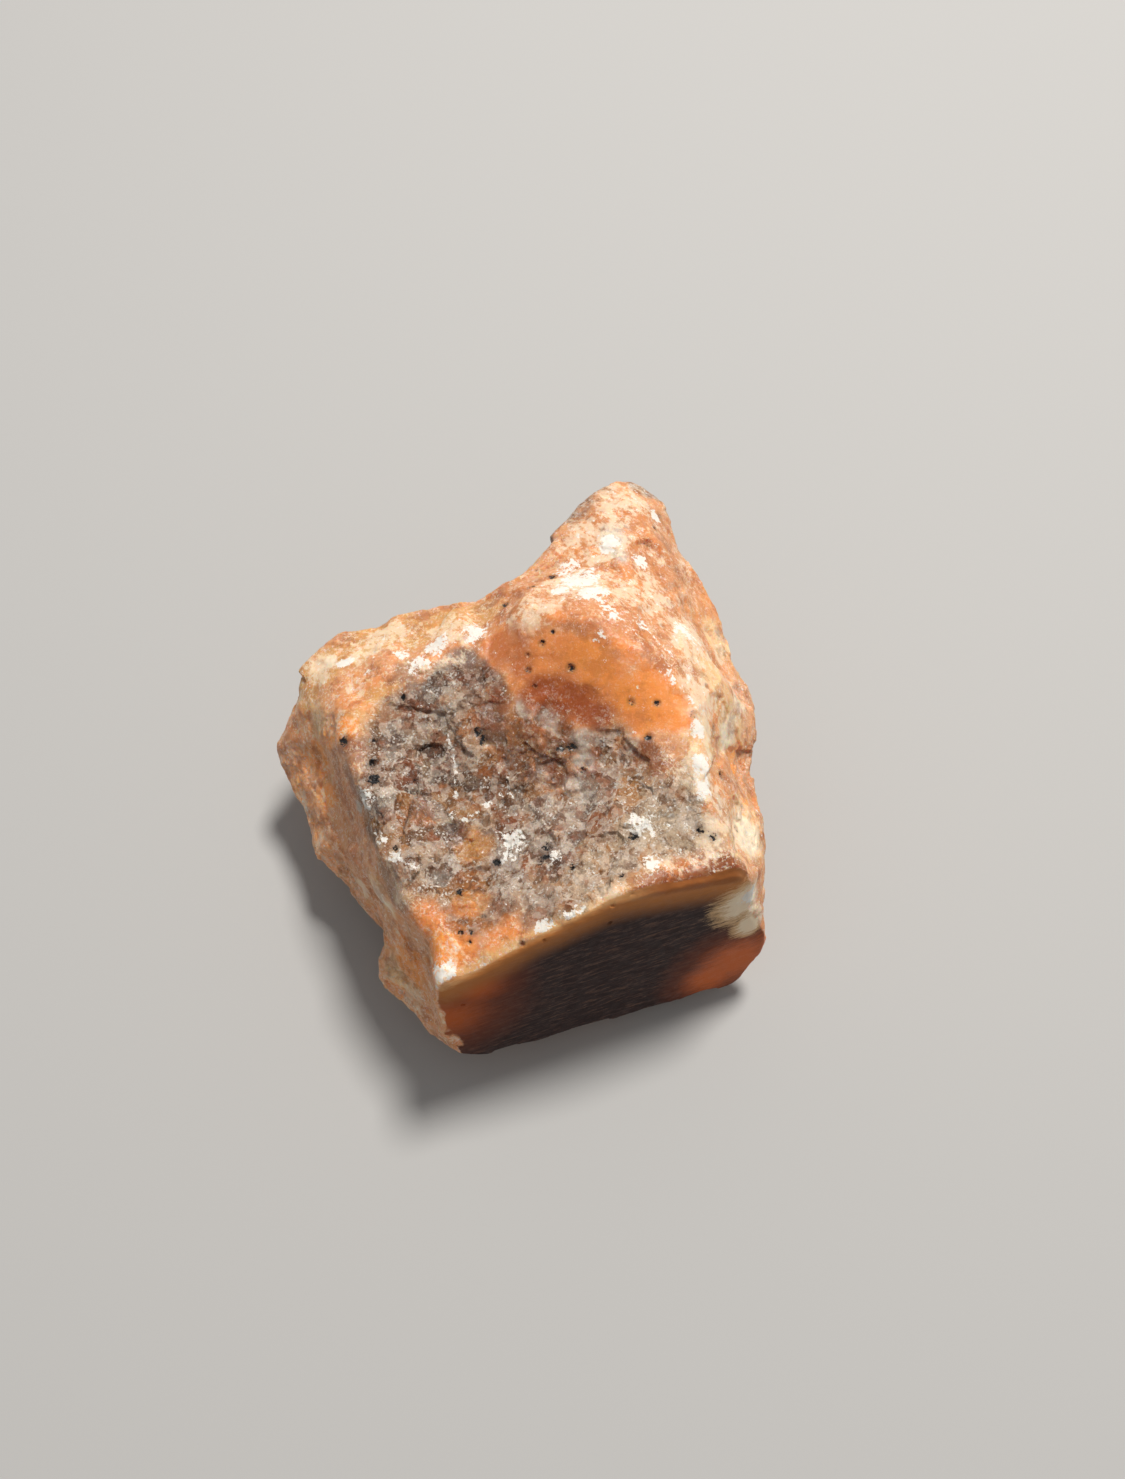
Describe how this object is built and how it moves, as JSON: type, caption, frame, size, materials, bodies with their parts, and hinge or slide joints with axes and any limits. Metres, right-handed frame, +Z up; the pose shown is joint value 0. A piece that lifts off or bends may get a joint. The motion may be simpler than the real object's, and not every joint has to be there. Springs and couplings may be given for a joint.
{
  "type": "rough orange calcite stone",
  "caption": "Rough lump of translucent orange calcite with a flat sawn front, a raised horn and ledge behind a grainy hollow top, and a small flat spot to rest on.",
  "frame": {"origin": "on the resting surface, under the middle of the stone's bounding box", "axes": "+Z up from the resting spot, +Y towards the horn at the back and away from the sawn face, +X to the right seen from the sawn face"},
  "size_m": [0.0474, 0.0542, 0.0295],
  "materials": {
    "calcite": "waxy translucent orange calcite, sugary grey-brown grains on the top, satin saw-cut front"
  },
  "bodies": {
    "root": {"calcite_stone": "calcite"}
  },
  "joints": []
}
